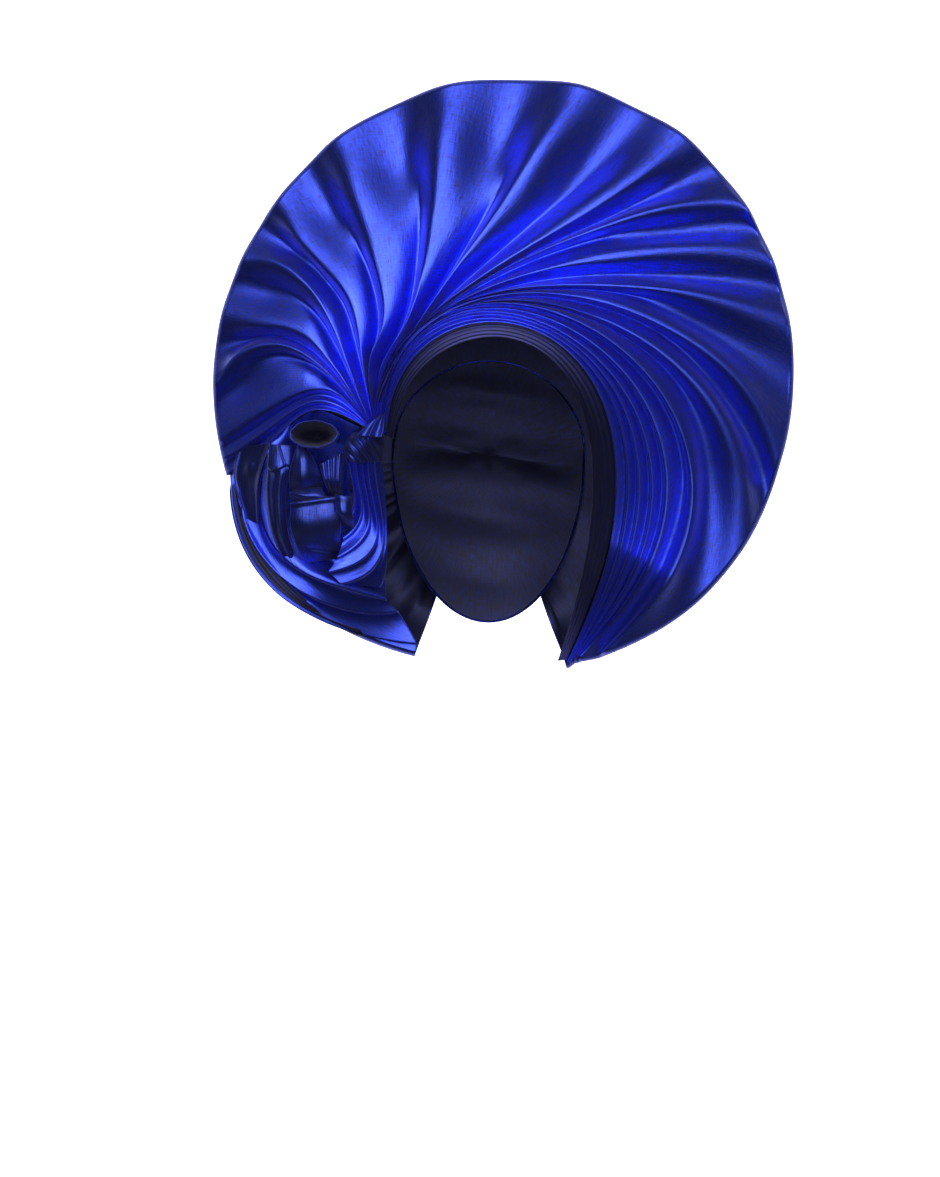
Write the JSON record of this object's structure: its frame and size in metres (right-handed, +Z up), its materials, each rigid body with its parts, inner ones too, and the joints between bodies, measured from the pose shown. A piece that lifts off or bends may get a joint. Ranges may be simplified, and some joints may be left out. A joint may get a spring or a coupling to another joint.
{
  "type": "tied head wrap",
  "caption": "Pleated cloth head wrap fanned into a wide disc round the face, with a soft rolled rim and a folded rosette knotted at the temple.",
  "frame": {"origin": "middle of the head at the height of the brow, where the wrap sits on the head", "axes": "-Y is the front, out of the face opening; +X is the wearer's left, the right side of the picture; +Z is up"},
  "size_m": [0.3828, 0.1914, 0.3878],
  "materials": {
    "satin_cloth": "shot satin, royal blue over a near-black weft, with a fine rib",
    "band_cloth": "dull dark blue, ribbed lengthwise"
  },
  "bodies": {
    "root": {"fan": "satin_cloth", "lower_sweep": "satin_cloth", "brow_band": "band_cloth", "temple_pleats": "satin_cloth", "back_wrap": "satin_cloth", "knot_wrap": "satin_cloth", "knot_tail": "satin_cloth", "rosette_wing": "satin_cloth", "rosette_strap": "satin_cloth", "rosette_triangle": "satin_cloth", "rosette_lip": "satin_cloth", "rosette_pocket": "satin_cloth", "rosette_tab": "satin_cloth", "rosette_fan": "satin_cloth", "rosette_cup": "satin_cloth"}
  },
  "joints": []
}
